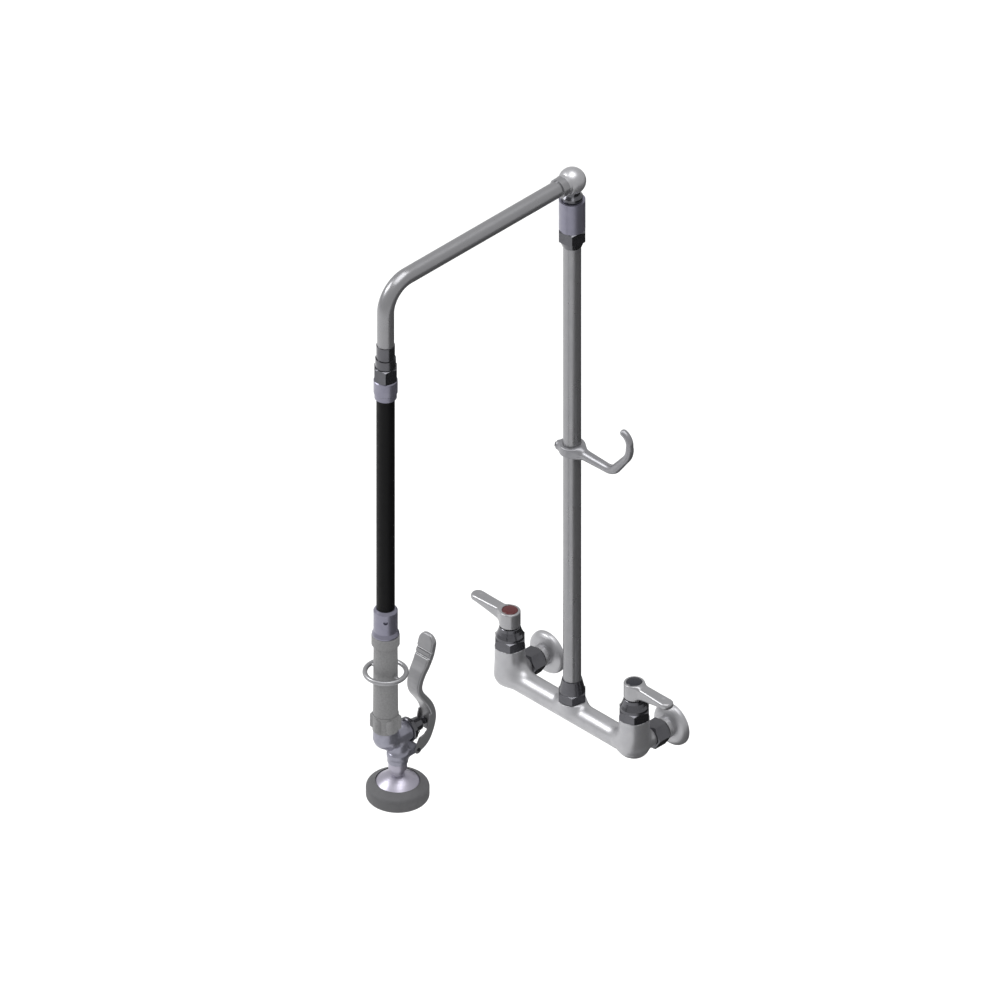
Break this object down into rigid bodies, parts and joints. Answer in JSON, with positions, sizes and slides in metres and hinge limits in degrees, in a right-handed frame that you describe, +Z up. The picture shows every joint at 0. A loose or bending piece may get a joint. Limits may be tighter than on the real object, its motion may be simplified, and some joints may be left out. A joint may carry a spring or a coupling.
{
  "type": "wall-mounted pre-rinse faucet",
  "caption": "Wall-mounted pre-rinse faucet: mixing body with lever valves, tall riser with finger hook, swinging tubular arm, hose and squeeze spray valve.",
  "frame": {"origin": "on the wall plane, midway between the two inlets, level with the axis of the body tube", "axes": "+X to the user's right, +Y into the wall, +Z up"},
  "size_m": [0.3242, 0.3954, 0.7924],
  "materials": {
    "chrome_cast": "polished chrome plate on cast brass",
    "chrome_tube": "chrome plate on drawn brass tube",
    "chrome_turned": "chrome plate on turned brass",
    "chrome_handle": "chrome plate on die cast handle",
    "chrome_sleeve": "satin chrome plate",
    "chrome_head": "bright chrome plate",
    "lever_metal": "pressed stainless steel",
    "hook_metal": "cast stainless steel",
    "steel_small": "machined stainless steel",
    "ring_wire": "stainless wire",
    "brass": "machined brass",
    "ceramic": "lapped ceramic",
    "nylon": "moulded nylon",
    "seal_rubber": "moulded rubber",
    "hose_rubber": "smooth black rubber hose",
    "grip_plastic": "moulded heat resistant plastic",
    "bumper_rubber": "moulded rubber",
    "hot_plastic": "red index button",
    "cold_plastic": "blue index button"
  },
  "bodies": {
    "fixed": {"mixing_body": "chrome_cast", "inlet_flange_left": "chrome_cast", "inlet_flange_right": "chrome_cast", "union_nuts": "chrome_turned", "union_washers": "seal_rubber", "bonnet_left": "chrome_turned", "bonnet_right": "chrome_turned", "cartridge_left": "brass", "cartridge_right": "brass", "fixed_discs": "ceramic", "seat_seals": "seal_rubber", "riser_adapter": "chrome_turned", "riser_gasket": "seal_rubber", "riser": "chrome_tube", "swivel_nut": "chrome_turned", "swivel_sleeve": "chrome_sleeve", "swivel_bearing": "nylon", "swivel_clip": "steel_small"},
    "hot_valve": {"hot_handle": "chrome_handle", "hot_index_cap": "hot_plastic", "hot_screw": "steel_small", "hot_stem": "brass", "hot_disc": "ceramic", "hot_orings": "seal_rubber"},
    "cold_valve": {"cold_handle": "chrome_handle", "cold_index_cap": "cold_plastic", "cold_screw": "steel_small", "cold_stem": "brass", "cold_disc": "ceramic", "cold_orings": "seal_rubber"},
    "hook": {"finger_hook": "hook_metal", "hook_screw": "steel_small"},
    "arm": {"swivel_stem": "chrome_turned", "swivel_orings": "seal_rubber", "ball_elbow": "chrome_cast", "arm_collar": "chrome_turned", "arm_tube": "chrome_tube", "arm_end_adapter": "chrome_turned", "hose_nut": "chrome_turned", "hose_washer": "seal_rubber", "upper_ferrule": "chrome_sleeve", "hose": "hose_rubber"},
    "hose_end": {"lower_ferrule": "chrome_sleeve"},
    "spray": {"handle_nut": "grip_plastic", "hose_end_washer": "seal_rubber", "handle_core": "brass", "handle_grip": "grip_plastic", "grip_collar": "grip_plastic", "valve_body": "chrome_cast", "valve_seat": "nylon", "valve_spring": "steel_small", "valve_bonnet": "chrome_turned", "lever_pin": "steel_small", "spray_head": "chrome_head", "spray_face": "steel_small", "face_screw": "steel_small", "bumper": "bumper_rubber"},
    "plunger": {"plunger": "steel_small"},
    "lever": {"squeeze_lever": "lever_metal"},
    "ring": {"hold_down_ring": "ring_wire"}
  },
  "joints": [
    {"name": "hot_turn", "type": "hinge", "parent": "fixed", "child": "hot_valve", "pos_m": [-0.1016, -0.0635, 0.08], "axis": [0, 0, 1], "range_deg": [0, 90]},
    {"name": "cold_turn", "type": "hinge", "parent": "fixed", "child": "cold_valve", "pos_m": [0.1016, -0.0635, 0.08], "axis": [0, 0, 1], "range_deg": [-90, 0]},
    {"name": "hook_slide", "type": "slide", "parent": "fixed", "child": "hook", "axis": [0, 0, 1], "range_m": [-0.2, 0.2]},
    {"name": "arm_swing", "type": "hinge", "parent": "fixed", "child": "arm", "pos_m": [0, -0.0635, 0.7], "axis": [0, 0, 1], "continuous": true},
    {"name": "hose_bend", "type": "hinge", "parent": "arm", "child": "hose_end", "pos_m": [0, -0.3685, 0.4462], "axis": [1, 0, 0], "range_deg": [-20, 20], "stiffness_Nm_per_rad": 2, "deforming": ["hose"]},
    {"name": "spray_swivel", "type": "hinge", "parent": "hose_end", "child": "spray", "pos_m": [0, -0.3685, 0.2457], "axis": [0, 0, 1], "continuous": true},
    {"name": "lever_squeeze", "type": "hinge", "parent": "spray", "child": "lever", "pos_m": [0, -0.3245, 0.0787], "axis": [1, 0, 0], "range_deg": [0, 11], "stiffness_Nm_per_rad": 6},
    {"name": "plunger_slide", "type": "slide", "parent": "spray", "child": "plunger", "axis": [0, -1, 0], "range_m": [0, 0.0062], "deforming": ["valve_spring"]},
    {"name": "ring_tilt", "type": "hinge", "parent": "spray", "child": "ring", "pos_m": [0, -0.3685, 0.206], "axis": [1, 0, 0], "range_deg": [-20, 20]}
  ],
  "couplings": [
    {"joint": "plunger_slide", "follows": "lever_squeeze", "m_per_rad": 0.0318}
  ]
}
